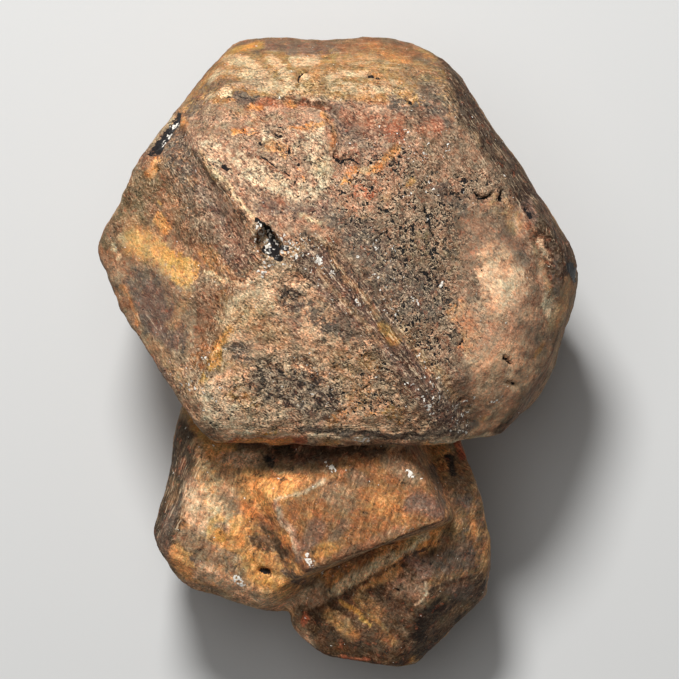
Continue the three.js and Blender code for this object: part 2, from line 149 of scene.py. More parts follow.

# Each stroke is (colour, path, half width, strength). Later strokes lie over earlier ones. Some are painted
# shadows, shade, highlights or light, as marked where they lie.
STAINS_AND_PAINTED_LIGHT = [
    # Top band
    ("tan", [(-9, 23), (-3, 22.8), (5.5, 22.4)], 1.5, 0.4),
    ("umber", [(-9.5, 25.6), (-3, 25.9), (5, 25.9)], 0.9, 0.8),
    ("cream", [(-9.3, 24.3), (-6.8, 23.6)], 0.45, 0.6),
    ("cream", [(-9, 23.2), (-6.2, 22.9)], 0.25, 0.6),
    ("cream", [(-5.5, 24.2), (-4.6, 23)], 0.5, 0.6),
    ("cream", [(-3.6, 24.3), (-1.9, 24.3)], 0.45, 0.75),
    ("cream", [(-6, 21.9), (-3.8, 21.5)], 0.8, 0.6),
    ("straw", [(-3.5, 22.6), (-2.4, 22), (-1.9, 22.9)], 0.45, 0.7),
    ("cream", [(-2.9, 22.7)], 0.4, 0.9),
    ("cream", [(-0.8, 22.7), (0.8, 22.9), (2.4, 23)], 0.25, 0.7),
    ("cream", [(-0.5, 22), (2, 21.6), (4.6, 22)], 0.5, 0.35),
    ("umber", [(-10.2, 22.2), (-8.8, 22)], 0.6, 0.5),
    ("drab", [(-7.8, 22), (-6.4, 22.4)], 0.6, 0.5),
    ("plum", [(-6, 25.5), (-2, 25), (2, 25.3)], 0.5, 0.45),
    ("tan", [(0, 24.3), (3.5, 24.2)], 0.5, 0.5),
    ("ochre", [(-9.3, 24.9), (-6.6, 25.5)], 0.3, 0.7),
    ("cream", [(-10.6, 22.4), (-9.8, 23.2)], 0.3, 0.8),
    ("orange", [(2.2, 25.5), (4.8, 24.6), (7.2, 23.1)], 0.3, 0.5),
    ("umber", [(5, 25.2), (8, 23.8)], 0.5, 0.6),
    ("ginger", [(0.5, 25.4), (3, 25.3), (5.8, 25)], 0.7, 0.6),
    ("ginger", [(-10.2, 23.6), (-9.2, 24.4)], 0.7, 0.35),
    ("olive", [(6.2, 23.2), (8.6, 21.2)], 1.2, 0.6),
    ("slate", [(7.3, 21), (8.5, 19.4)], 1.1, 0.6),
    ("slate", [(4.6, 20.4), (6.8, 19.3)], 0.9, 0.65),
    ("umber", [(-12, 20.6), (-10.7, 21.8)], 0.6, 0.6),
    ("cream", [(-10.7, 20.9), (-9, 21.5)], 0.2, 0.9),
    ("slate", [(-12.2, 19.6), (-10.8, 20.2)], 0.6, 0.6),
    ("slate", [(-8.4, 20.8), (-6.8, 20.4)], 0.55, 0.8),
    ("drab", [(-10.7, 19.9), (-8.6, 19.6)], 0.7, 0.7),
    ("drab", [(-11.6, 18.4), (-9.6, 18)], 0.6, 0.5),
    # Raised patch and the red groove round it
    ("bone", [(-10.6, 17), (-9.2, 15.6)], 0.8, 0.5),
    ("bone", [(-7.8, 15.6), (-6.3, 14.4)], 0.9, 0.6),
    ("bone", [(-5.4, 14.2), (-3.2, 12.9)], 0.9, 0.6),
    ("bone", [(-5.6, 17.4), (-3.3, 17)], 1, 0.4),
    ("bone", [(-2, 17.6), (-1.2, 14.2)], 1, 0.6),
    ("cream", [(-1.3, 15.2)], 0.8, 0.8),
    ("orange", [(-5.8, 16.8), (-4.2, 16.4)], 0.5, 0.5),
    ("orange", [(-4, 18.4), (-1.4, 18.7)], 0.3, 0.5),
    ("drab", [(-5.6, 19.3), (-3.4, 19.5)], 0.5, 0.6),
    ("tan", [(-7.8, 19.6), (-6.5, 18.9)], 0.6, 0.6),
    ("orange", [(-1.4, 19.5), (-0.5, 18.8), (-0.4, 17.9), (-0.6, 16.8)], 0.28, 0.85),
    ("rust", [(-7.5, 20), (-6.3, 20.4), (-4.9, 20.5), (-2.5, 20.4), (-0.3, 19.9)], 0.3, 0.85),
    ("plum", [(-0.3, 19.6), (0.6, 18.8), (2.4, 18.2)], 0.8, 0.8),
    ("orange", [(-7.2, 20.2), (-6.4, 20.1)], 0.22, 0.8),
    ("orange", [(-4.5, 20.8), (-3.8, 20.4)], 0.22, 0.8),
    ("orange", [(-8.6, 17.9), (-7, 18)], 0.28, 0.7),
    ("rust", [(-6.6, 18.2), (-6.2, 19.6)], 0.3, 0.6),
    # Painted shadow in the groove under the ledge of the top band
    ("sepia", [(-5.2, 20.8), (-3, 20.7), (-0.8, 20.2), (0.5, 18.8), (2.1, 17.6)], 0.16, 0.75),
    ("orange", [(-3.3, 15), (-3, 14.2)], 0.2, 0.7),
    ("rust", [(-6.2, 16), (-5.2, 15.2), (-4.2, 14.4)], 0.16, 0.7),
    ("plum", [(-6, 11.9), (-3.2, 11.6), (-1.2, 12.3)], 0.9, 0.6),
    ("rust", [(-4.6, 13), (-4.4, 11.8)], 0.35, 0.4),
    ("cream", [(-3.1, 11.1), (-2, 10.9), (-1.6, 10.6)], 0.25, 0.9),
    ("slate", [(-0.4, 11), (1.2, 10.2)], 1.1, 0.6),
    ("bone", [(-2, 13.1)], 0.5, 0.6),
    # Rust to the right of the patch
    ("plum", [(0.6, 17.6), (3.8, 17)], 1.8, 0.5),
    ("rust", [(0.6, 19.4), (2.6, 18.8)], 0.5, 0.5),
    ("rust", [(2.4, 18.4), (4.6, 18.4)], 1, 0.35),
    ("rust", [(0.6, 16), (2.5, 13.6), (4.2, 15.4), (4.6, 17.4)], 0.9, 0.35),
    ("brick", [(4.9, 19), (4.3, 18)], 0.5, 0.4),
    ("brick", [(6.9, 18.3), (7.8, 18.5)], 0.7, 0.4),
    ("orange", [(1.6, 14.9), (3.1, 15.1)], 0.35, 0.7),
    ("orange", [(3.4, 15.6), (4.4, 16.4)], 0.4, 0.6),
    ("orange", [(0.9, 14.6), (0.5, 13.8)], 0.4, 0.5),
    ("cream", [(2, 15)], 0.3, 0.6),
    ("brick", [(1.3, 13.2), (2.2, 13)], 0.7, 0.4),
    ("straw", [(5.7, 14.1)], 0.35, 0.8),
    ("umber", [(6.2, 19.2), (6.9, 17.2)], 1, 0.45),
    # Long ridge on the left, with the dark strip beside it, which is partly painted shade
    ("slate", [(-13.2, 17), (-11, 12.6), (-8.6, 8.2)], 1.5, 0.6),
    ("plum", [(-10.9, 12.9), (-9.6, 10.5), (-8.1, 7.8)], 0.8, 0.6),
    ("pink", [(-11.6, 15.6), (-9.4, 12.2), (-7.6, 9.4)], 0.5, 0.5),
    ("umber", [(-13.6, 14.6), (-11.6, 12), (-9.6, 9.4)], 0.6, 0.35),
    ("umber", [(-13.3, 19.6), (-12.8, 18.6)], 0.6, 0.5),
    ("orange", [(-13.2, 19.3), (-12.4, 18.2)], 0.3, 0.6),
    ("pink", [(-12.3, 18), (-10.9, 16.2)], 0.4, 0.7),
    # Painted shadow line beside the crest, and a painted highlight along the crest
    ("sepia", [(-11.8, 16.3), (-9.8, 13.7), (-7.6, 10.6)], 0.14, 0.6),
    ("cream", [(-11.2, 16.4), (-9.4, 14.2), (-8, 12.3), (-6.8, 10.8)], 0.2, 1),
    # Left face
    ("olive", [(-15.4, 14.4), (-17.2, 11.5), (-19, 9.8)], 1.3, 0.7),
    ("umber", [(-11.8, 11.2), (-10.6, 8.8)], 1.2, 0.6),
    ("orange", [(-14.9, 15.9), (-15.3, 14.6)], 0.4, 0.6),
    ("tan", [(-16.4, 10.6), (-15.2, 9)], 1.4, 0.5),
    ("umber", [(-18.6, 10.2), (-17.4, 8.2)], 0.8, 0.5),
    ("cream", [(-17.8, 9.6), (-17.5, 9.2)], 0.25, 0.8),
    ("cream", [(-18.6, 8.8)], 0.25, 0.8),
    ("cream", [(-18.2, 8.1)], 0.25, 0.8),
    ("ochre", [(-14.5, 12.2)], 0.3, 0.6),
    ("orange", [(-14.7, 11.2), (-14.1, 10.4)], 0.5, 0.75),
    ("amber", [(-16.4, 9.2), (-14.6, 8), (-12.8, 6.8)], 1.2, 0.6),
    ("ochre", [(-14.2, 8.2), (-13, 7.4)], 0.6, 0.5),
    ("amber", [(-12.8, 6.3), (-12, 6.8)], 0.8, 0.5),
    ("orange", [(-10.9, 8.3), (-9.4, 6.9)], 0.8, 0.35),
    ("rust", [(-8.6, 9.6), (-7.4, 7.6)], 0.7, 0.35),
    ("slate", [(-16.2, 5.6), (-15.2, 3.6), (-14, 1.2)], 1.8, 0.65),
    ("plum", [(-15.2, 4.4), (-14, 1.9)], 1.2, 0.6),
    ("tan", [(-12.3, 5.2), (-12.8, 3.8), (-13.6, 2.4)], 0.45, 0.6),
    ("ginger", [(-9.4, 4.6), (-10.4, 2), (-11.4, -0.6)], 0.9, 0.6),
    ("umber", [(-11.2, 4.4), (-10.8, 1.8)], 1, 0.6),
    ("rust", [(-10.6, 4.8), (-11.4, 1.2)], 0.6, 0.35),
    ("cream", [(-10.9, 6.7), (-9.6, 6.2), (-7.9, 5.7)], 0.18, 0.85),
    ("sepia", [(-8.6, 8.2), (-7.9, 6.4)], 0.14, 0.7),
    ("orange", [(-17.8, 5.4), (-16.4, 2.5)], 0.25, 0.35),
    ("tan", [(-15.4, 0.9), (-13.2, -1.6), (-11.8, -3.2)], 0.6, 0.6),
    # Ridge and ground of the lower face
    ("cream", [(-8.4, 2.6), (-6.6, 4)], 1.4, 0.85),
    ("pink", [(-5.6, 2.2), (-4.2, 2)], 1.2, 0.7),
    ("bone", [(-7.4, 5.6), (-6.2, 4.8)], 0.8, 0.5),
    ("slate", [(-4, 4.6), (-2.4, 3.6), (-1.2, 2.4)], 1, 0.6),
    ("slate", [(-8.2, 0.4), (-6.8, 0.2)], 0.8, 0.6),
    ("ochre", [(-8.8, 2), (-9.6, 1.2), (-10, 0.3), (-10.3, -0.7)], 0.4, 0.75),
    ("orange", [(-9.2, 1.6), (-9.9, 0.6)], 0.3, 0.5),
    ("ochre", [(-10.9, -1.7), (-11, -2.2)], 0.3, 0.8),
    ("tan", [(-9.2, -0.9), (-8, -1.4)], 0.8, 0.6),
    ("slate", [(-5.8, -2.2), (-3, -3), (-1.2, -4)], 1.6, 0.7),
    ("bone", [(-10.4, -3.2), (-9.8, -4.8), (-7.8, -5.5)], 1.1, 0.9),
    ("straw", [(-8.4, -3.2), (-7, -4.2)], 0.8, 0.5),
    ("bone", [(-5.8, -4.8), (-2, -5.2)], 0.4, 0.4),
    ("pink", [(-4, -5.2), (-1, -5.4)], 0.6, 0.5),
    ("orange", [(1.6, -3.4), (2.6, -4.2)], 0.9, 0.35),
    ("slate", [(0.2, 2.6), (1.2, 1.8)], 0.9, 0.7),
    ("umber", [(-3, 0.6), (0.4, 0.2)], 1.2, 0.4),
    ("ochre", [(3.6, 2.4), (4.6, 1.4)], 0.5, 0.5),
    ("ochre", [(2, -0.5), (2.6, -0.9)], 0.7, 0.6),
    ("tan", [(0.2, -0.8), (1.2, -2.6)], 1.2, 0.6),
    ("clay", [(-6.2, 0.6), (-4.4, 0.6)], 0.9, 0.6),
    ("straw", [(-7.2, 3), (-4.8, 1.6)], 1, 0.4),
    ("orange", [(-0.6, -5.6), (0.8, -4.6)], 0.6, 0.4),
    ("ochre", [(4, -4.5), (4.8, -4.9)], 0.5, 0.5),
    # Striated ridge and right face
    ("umber", [(-1.6, 7.6), (0.6, 5.2), (2.6, 3), (6, -1.2), (9, -5)], 1.9, 0.75),
    ("plum", [(-1.2, 7.4), (0.8, 5.2), (2.6, 3), (5.8, -1.2), (8.8, -5)], 1.1, 0.9),
    ("plum", [(-2.4, 7.4), (-0.6, 5.4), (1.4, 3.4)], 1, 0.8),
    ("slate", [(-0.4, 7.3), (2.2, 4.7), (3.8, 2.6)], 0.7, 0.6),
    ("sepia", [(-0.9, 7.7), (1.1, 5.2), (3.5, 2), (6.7, -2.7), (8.5, -4.9)], 0.3, 0.5),
    ("tan", [(-1.6, 9.3), (-0.5, 7.9), (0.7, 6.1), (2, 4.5), (3, 3.2)], 0.22, 0.6),
    ("tan", [(-1.8, 7), (0.6, 4), (3.2, 1)], 0.25, 0.5),
    ("tan", [(5, 2.2), (7.2, -0.6), (9.2, -3.4)], 0.4, 0.6),
    ("slate", [(1.8, 9.6), (4.2, 6.8), (6.2, 4.6)], 1.5, 0.65),
    ("slate", [(0.8, 9), (3.2, 6), (5.6, 3.2)], 0.6, 0.35),
    ("sepia", [(4.4, 1), (6.6, -1.9), (8.3, -4.1)], 0.5, 0.3),
    ("umber", [(2.2, -0.6), (6, -5.4)], 1.1, 0.5),
    ("ochre", [(3.4, 2.4), (4.6, 1)], 0.4, 0.5),
    ("slate", [(8.3, 13), (9.6, 12.2)], 1.1, 0.6),
    ("slate", [(7, 6.2), (7.8, 3.6)], 1.3, 0.6),
    ("slate", [(10.4, -1.6), (11.6, -2.6)], 0.9, 0.4),
    ("slate", [(7.6, -3), (9.4, -4.6)], 0.9, 0.5),
    ("olive", [(6, 9), (8.8, 8)], 1.6, 0.4),
    ("clay", [(12.6, 7.4), (13.2, 5.2), (12.2, 2.4), (11.6, 0.2)], 1.8, 0.55),
    ("bone", [(12.2, 6.4), (13.2, 5.2)], 0.8, 0.35),
    ("bone", [(13.8, 4.6), (14.8, 6.2)], 1, 0.5),
    ("orange", [(9.6, 3.6), (10.6, 2.2), (10.4, 1)], 0.8, 0.4),
    ("pink", [(10.6, 3), (11.6, 1.4), (13.8, 1.6)], 1.2, 0.6),
    ("pink", [(14.4, 3.4), (14.9, 4.2)], 0.9, 0.5),
    ("slate", [(13.6, 9.6), (15, 8)], 0.9, 0.5),
    ("clay", [(13.6, -0.2), (12.2, -3.4), (14.8, -1.4)], 1.6, 0.6),
    ("pink", [(13, -3), (13.8, -3.6)], 0.6, 0.4),
    ("tan", [(12.8, 12.4), (14.2, 10.8)], 0.9, 0.5),
    ("plum", [(15.2, 12.2), (15.8, 11)], 0.6, 0.7),
    ("rust", [(15.6, 10.4), (16.6, 8.8), (17.1, 6.4)], 0.5, 0.45),
    ("bone", [(16.4, 9.4), (17, 7.8)], 0.2, 0.5),
    ("slate", [(17.5, 8.6), (18, 6.4), (17.7, 5)], 0.4, 0.5),
    ("bone", [(17, 4.3), (17.4, 3.4)], 0.7, 0.8),
    ("tan", [(18.9, 6), (18.4, 4.4), (17.6, 2.4)], 0.5, 0.7),
    ("clay", [(15.6, 3.2), (15.4, 1.2)], 0.8, 0.5),
    ("slate", [(15.4, 2.2), (16.6, 1.4)], 0.7, 0.5),
    ("straw", [(16.7, 1), (15.8, -0.2)], 0.2, 0.6),
    # Painted shade along the lower right rim, on the faces turned away from the light
    ("sepia", [(18.6, 1.6), (17.3, -1.8), (15, -4.9), (12.8, -6.9)], 0.6, 0.7),
    # Dark line and pale lip along the lower rim
    ("slate", [(-3, -6.3), (3, -6.5), (8, -6.5), (11.2, -5.8)], 0.35, 0.75),
    ("ochre", [(-6.4, -6.1), (-5.2, -6.2)], 0.4, 0.4),
    ("bone", [(-9.6, -6.7), (-3.2, -6.75), (2, -6.9)], 0.16, 0.8),
    ("bone", [(7.2, -7), (10.8, -7.1), (12.6, -6.6)], 0.22, 0.8),
    ("orange", [(-9.9, -7.2), (-9, -7.2)], 0.2, 0.7),
    ("brick", [(-8.8, -7.1), (-3.2, -7.05)], 0.35, 0.9),
    ("orange", [(-8.4, -7.15), (-4.2, -7.15)], 0.3, 0.95),
    # Left crystal
    ("ginger", [(-11.5, -14), (-6.5, -18)], 4.4, 0.15),
    ("moss", [(-13.2, -7.6), (-13.9, -11.6), (-14.6, -14.5)], 1.5, 0.9),
    ("rust", [(-13, -8.6), (-13.3, -9.6)], 0.3, 0.4),
    ("tan", [(-13.9, -10.6), (-14.1, -12.6)], 0.4, 0.25),
    ("slate", [(-12.2, -10.2), (-12.8, -11.4), (-14.1, -13.8)], 0.4, 0.7),
    ("tan", [(-11.9, -7.4), (-11.4, -8.6)], 0.5, 0.7),
    ("umber", [(-12.8, -9.8), (-12.2, -11.2)], 0.5, 0.5),
    ("slate", [(-14.2, -14.2), (-14.7, -16.2)], 0.6, 0.7),
    ("cream", [(-11.4, -12.2), (-10.4, -13.2)], 1.5, 0.65),
    ("clay", [(-12.3, -11.2), (-11.8, -14.2)], 0.8, 0.6),
    ("amber", [(-11, -14.6), (-10.6, -13.9), (-9.9, -13.6)], 0.25, 0.8),
    ("amber", [(-8.9, -14.2), (-9, -15.2)], 0.3, 0.7),
    ("clay", [(-9.6, -8.6), (-7, -8.8)], 0.7, 0.7),
    ("tan", [(-11, -9.6), (-8.6, -10.6)], 1, 0.7),
    ("drab", [(-9.6, -11.6), (-8.4, -12.6)], 0.7, 0.6),
    ("plum", [(-9.9, -14.4)], 0.5, 0.5),
    ("ochre", [(-10.3, -14.8), (-10, -15.2)], 0.4, 0.8),
    ("orange", [(-8.5, -14.8), (-8.1, -15.4)], 0.5, 0.6),
    ("olive", [(-12.8, -15.6), (-11, -16.8)], 0.6, 0.6),
    ("slate", [(-12.2, -17), (-11.4, -17.4)], 0.35, 0.6),
    ("drab", [(-12.6, -15.2), (-10.2, -16.8), (-8, -17.8)], 0.9, 0.7),
    ("clay", [(-11.4, -18), (-8.4, -19.6), (-4.8, -20.8), (-2, -20.4)], 0.8, 0.75),
    ("ochre", [(-7.4, -17.2), (-6.2, -19.2), (-4.9, -19.7)], 0.9, 0.4),
    ("olive", [(-8.4, -18.2), (-7.8, -18.9)], 0.4, 0.5),
    ("slate", [(-4.4, -18.2), (-3.4, -18.9)], 0.5, 0.6),
    # Recess between the left and the rhombic crystal; its umber and sepia strokes are painted shade
    ("umber", [(-6.7, -14.6), (-5.4, -16), (-4.2, -17)], 0.8, 0.5),
    ("ginger", [(-7.6, -12.4), (-7.4, -13.6)], 0.6, 0.6),
    ("sepia", [(-6.6, -13.6), (-5.9, -14.8), (-4.6, -16.6)], 0.35, 0.7),
    ("russet", [(-7.8, -12.2), (-7.2, -13.6)], 0.6, 0.6),
    ("sepia", [(-7, -15.4), (-6, -16.2)], 0.5, 0.5),
    ("orange", [(-7.6, -13.2), (-7.2, -14.6)], 0.3, 0.5),
    ("rust", [(-6.4, -13), (-5.4, -14.2)], 0.5, 0.4),
    # Rhombic crystal
    ("ginger", [(-3, -12.5), (6.5, -11), (1, -15)], 3, 0.75),
    ("honey", [(-7.2, -10.6), (-4.4, -11)], 1.2, 0.85),
    ("orange", [(-6.2, -10.9), (-4.6, -11.1)], 0.8, 0.8),
    ("orange", [(-6.8, -12), (-6, -12.8)], 0.45, 0.6),
    ("bone", [(-5.4, -12), (-3.2, -11.5), (-1.3, -10.4)], 0.16, 0.6),
    ("pink", [(-5.3, -12.4), (-4.3, -14.4), (-3.2, -17)], 0.3, 0.9),
    ("bone", [(-5.3, -12.6), (-4.4, -14.6), (-3.6, -16.2)], 0.13, 0.7),
    ("slate", [(1.3, -10), (1.9, -10.4)], 0.6, 0.5),
    ("drab", [(-0.6, -11.2), (0.6, -12)], 0.9, 0.6),
    ("orange", [(3.2, -12), (5, -12.8)], 1, 0.3),
    ("orange", [(-2.4, -13.5)], 0.25, 0.8),
    ("drab", [(4.2, -8.8), (6, -9.8)], 0.8, 0.6),
    ("umber", [(5, -8.6), (6.4, -10.8), (7.2, -12.4)], 0.9, 0.3),
    ("olive", [(0.8, -10.4), (0.4, -12.4), (-0.6, -14.6)], 0.7, 0.4),
    ("plum", [(6.2, -12.2), (8, -12.8)], 0.8, 0.85),
    ("plum", [(-2, -14.2), (-2.6, -15.8)], 0.7, 0.6),
    ("slate", [(0.4, -14), (-0.6, -15)], 0.5, 0.5),
    ("ochre", [(-1.9, -16.2), (-0.6, -15.9)], 0.5, 0.4),
    ("olive", [(6.6, -8), (7.8, -10.6), (8.5, -12.6)], 0.4, 0.25),
    ("slate", [(7.6, -9.4), (8.5, -12.2)], 0.3, 0.7),
    # Painted shadow along the lower edge of the rhombic crystal
    ("sepia", [(-2.4, -17.8), (1.6, -16.7), (5.4, -15.1), (8.5, -13.8)], 0.18, 0.7),
    ("plum", [(0, -16.6), (5, -14.5)], 0.4, 0.35),
    # Painted shadow of the main crystal's rim across the top of the small crystals, in sepia and dark olive,
    # with a black hole painted in it
    ("sepia", [(-5.6, -8.1), (0, -8), (3.4, -7.9)], 0.55, 0.75),
    ("olive", [(-6.4, -9.2), (-1, -9.2)], 0.5, 0.6),
    ("pitch", [(-5.9, -8.6), (-5.5, -8.8)], 0.35, 0.9),
    # Lower right crystal
    ("umber", [(0, -20), (5, -22.5), (9.5, -20)], 3.4, 0.4),
    ("slate", [(9.8, -10.8), (11.2, -14), (11, -16.6)], 1.3, 0.4),
    ("slate", [(8.6, -17.4), (10.2, -17)], 1.1, 0.65),
    ("slate", [(10.4, -12.3)], 0.55, 0.7),
    ("orange", [(10.9, -13.4), (11.4, -15)], 0.3, 0.45),
    ("umber", [(8.8, -15.4), (10.2, -15.8)], 0.7, 0.5),
    ("sepia", [(7.5, -19.7), (9.6, -19.2), (11.8, -18.4)], 0.2, 0.85),
    ("slate", [(9.4, -20.1), (10.8, -19.8)], 0.5, 0.7),
    ("olive", [(7.4, -20.9), (9.2, -20.4)], 0.35, 0.8),
    ("olive", [(8.6, -22.6), (10.6, -21)], 0.5, 0.6),
    ("char", [(6.6, -23.4), (7, -22), (8.4, -21)], 0.6, 0.85),
    ("plum", [(5.8, -16.6), (7.2, -18)], 0.7, 0.6),
    ("pink", [(4.8, -18.8), (6.2, -19.2)], 1, 0.35),
    ("bone", [(7.3, -19), (7.2, -19.9), (6.3, -20.9)], 0.12, 0.7),
    ("orange", [(1.8, -19.1), (4.4, -18)], 0.7, 0.5),
    ("honey", [(1.6, -20.4), (3, -21.6)], 0.6, 0.25),
    # Painted light: this cream strip lightens the band below the rhombic crystal, where that crystal's shadow
    # falls
    ("cream", [(7.2, -15.1), (4.6, -16.7), (2, -18.3), (-0.6, -19.9)], 0.42, 0.9),
    ("ochre", [(6.4, -15.4), (4.8, -16.4)], 0.3, 0.5),
    ("sepia", [(7, -16.2), (3.4, -18.2), (0.2, -20.2)], 0.14, 0.7),
    ("brick", [(9.9, -7.6), (10.2, -8.4)], 0.45, 0.8),
    # Painted shade: black in the shadowed gap between the main, the rhombic and the lower right crystal
    ("pitch", [(9.1, -8.6), (9.3, -9.8)], 0.35, 0.9),
    ("honey", [(-0.7, -21.8), (0.3, -22.6), (0.9, -23.6)], 0.55, 0.65),
    ("ochre", [(0, -20.6), (1.2, -21.4), (2.6, -22.8)], 0.2, 0.7),
    ("straw", [(1.4, -20.6), (3.2, -22.6), (4.6, -24.2)], 0.2, 0.6),
    ("tan", [(-0.4, -21.6), (0.6, -22.2), (0.2, -23.2)], 0.18, 0.6),
    ("sepia", [(4, -21), (5.6, -22.2)], 0.4, 0.6),
    ("sepia", [(-1.4, -23.6), (1.4, -24.2), (3.4, -24.2)], 0.5, 0.6),
    ("ginger", [(3.6, -23.7), (4.4, -24.2)], 0.4, 0.5),
    ("brick", [(-2.9, -22.2), (-3.2, -22.8)], 0.3, 0.6),
    ("brick", [(0.4, -25.4), (2.2, -25.7)], 0.25, 0.6),
]

# ---- Textures of the front, seen from above ----

# Where it is pitted, free of pits, smooth, crinkled or strewn with painted white glints, as (path, half
# width, strength)
PITTED = [
    ([(3.5, 13.5), (6.5, 9), (7.8, 2.5)], 4.4, 1),
    ([(10, 13.4), (12.6, 12.6)], 1.8, 0.9),
    ([(-1, 10.5), (1.5, 6)], 3, 0.6),
    ([(-9.5, -5), (4, -5.2), (9, -4)], 1.6, 0.6),
    ([(3, 1), (6, -1), (1.5, -3)], 2.6, 0.8),
    ([(-6.8, -2.6), (-9, -3.6)], 1.6, 0.7),
    ([(-6, 16.5), (-2.5, 13.5)], 2.6, 0.6),
    ([(2, 16.5), (4.5, 15)], 1.8, 0.5),
    ([(8.6, -2.5), (9.6, -4)], 1.6, 0.5),
]
UNPITTED = [([(-1.2, 7.8), (4.2, 1), (9.2, -5)], 1, 0.8)]
SMOOTHED = [
    ([(12.6, 9.5), (12.8, 5), (13.2, 0.5), (12.6, -4)], 3.4, 0.5),
    ([(-15.5, 8), (-14, 2)], 3, 0.4),
]
CRINKLED = [
    ([(-5.2, -2), (-1.6, -3.2)], 2.6, 1),
    ([(-5.6, 16.6), (-2, 15)], 3.2, 0.6),
    ([(-5.8, 8.4), (-2.6, 8), (-4, 5.6)], 1.8, 0.8),
    ([(1, -2), (4, -3)], 2.6, 0.6),
    ([(-9.6, -3.4), (-4, -5)], 1.6, 0.7),
    ([(3, 15.5)], 2.4, 0.5),
]
GLINTED = [
    ([(-5.8, 9), (-3, 8.3), (-1.6, 7.2)], 1.6, 0.9),
    ([(0.4, 4.1), (4.4, 4.4), (2.4, 8.8)], 1.8, 0.6),
    ([(6.9, -2.5), (9.8, -4.9)], 1.6, 0.8),
    ([(4, 17), (8, 17), (6, 13.5)], 1.8, 0.6),
    ([(-13.6, -1), (-11, -3.4)], 1.2, 0.6),
    ([(-4, -1.2), (-2, -2.8)], 2, 0.6),
    ([(-10, -2), (-8, 3)], 1.2, 0.5),
]
# Where white spots lie, partly a crust and partly painted glints
CRUST_AND_GLINTS = [
    ([(-6.4, 10.2), (-5.8, 9.2), (-4.8, 9)], 0.5, 0.7),
    ([(-6.6, 8.3), (-4.4, 8.4)], 0.6, 0.5),
    ([(-6.2, 7.4), (-5.4, 7.2)], 0.4, 0.6),
    ([(-4.2, 8.9), (-3.4, 8.6), (-2.9, 8.1)], 0.25, 0.65),
    ([(-3.8, 8.3), (-3.1, 8.1)], 0.3, 0.7),
    ([(-2, 7.9), (-1.6, 7.5)], 0.3, 0.9),
    ([(-1.2, 6.9), (-0.6, 6.4)], 0.3, 0.6),
    ([(-6.6, 6.6), (-5.8, 6.4)], 0.4, 0.6),
    ([(-13.7, 19), (-14.6, 17.4)], 0.3, 0.8),
    ([(5.6, 4.6), (6.2, 4.1)], 0.3, 0.7),
    ([(1.2, 4.3), (1.5, 4)], 0.22, 0.95),
    ([(2.7, 8.9), (2.9, 8.6)], 0.2, 0.9),
    ([(4.1, 8.7), (4.4, 8.3)], 0.2, 0.8),
    ([(1.2, -6.9), (2.3, -7.1)], 0.22, 1),
    ([(6.4, -0.1), (7, -1)], 0.2, 0.8),
    ([(5.4, -2.3)], 0.16, 1),
    ([(6.7, -3.4)], 0.16, 1),
    ([(7.1, -4.4)], 0.22, 0.9),
    ([(10, -4.9)], 0.2, 1),
    ([(9.6, -6.2), (10.4, -6.4)], 0.18, 0.8),
    ([(10.9, -3.5)], 0.16, 0.9),
    ([(12.4, -3.8), (13, -3.8)], 0.16, 0.8),
    ([(7.1, 10.9)], 0.22, 1),
    ([(8.4, 6.2), (8.2, 5.6)], 0.18, 0.8),
    ([(5.6, 18)], 0.2, 0.7),
    ([(6.6, 16.4), (7, 16)], 0.2, 0.7),
    ([(-11.2, 0.4), (-11, -0.2)], 0.25, 0.6),
    ([(-12.6, -2), (-11.8, -3)], 0.3, 0.6),
    ([(-5.1, -10.4)], 0.3, 0.8),
    ([(-0.8, -9.2), (-0.5, -9.5)], 0.25, 1),
    ([(5.6, -9.6), (6, -10)], 0.3, 0.8),
    ([(-2.7, -16.6), (-2.4, -17.2)], 0.35, 0.9),
    ([(-8.6, -18.6), (-8.2, -19)], 0.35, 1),
    ([(-1.6, -18.2), (-1.2, -18.4)], 0.25, 0.8),
]
# Directions of the fine lines in the skin: (turn, [(path, half width, strength), ...])
LINES = {
    "level": (0, [([(-9, 23), (6, 23)], 2.6, 0.3), ([(-4, -6.2), (10, -6.4)], 0.7, 0.8)]),
    "falling": (
        -52,
        [
            ([(-11.9, 17.4), (-9.4, 14.2), (-6.6, 10.4)], 1, 1),
            ([(-12.6, 15), (-8.4, 8.6)], 2, 0.8),
            ([(-1.6, 8), (4.2, 1), (9.2, -5)], 1.5, 1),
            ([(10, 21.5), (17.5, 9)], 2, 0.7),
            ([(-16, 2.5), (-11.5, -3)], 1.2, 0.6),
        ],
    ),
    "rising": (
        66,
        [
            ([(-12.2, -8.6), (-14.4, -14)], 1.4, 0.8),
            ([(-8.6, 4.4), (-10, 1), (-11, -2.4)], 1.3, 0.8),
            ([(5.5, -15.5), (1, -19.5)], 1.2, 0.6),
        ],
    ),
}

# ---- Relief too fine for the solid ----

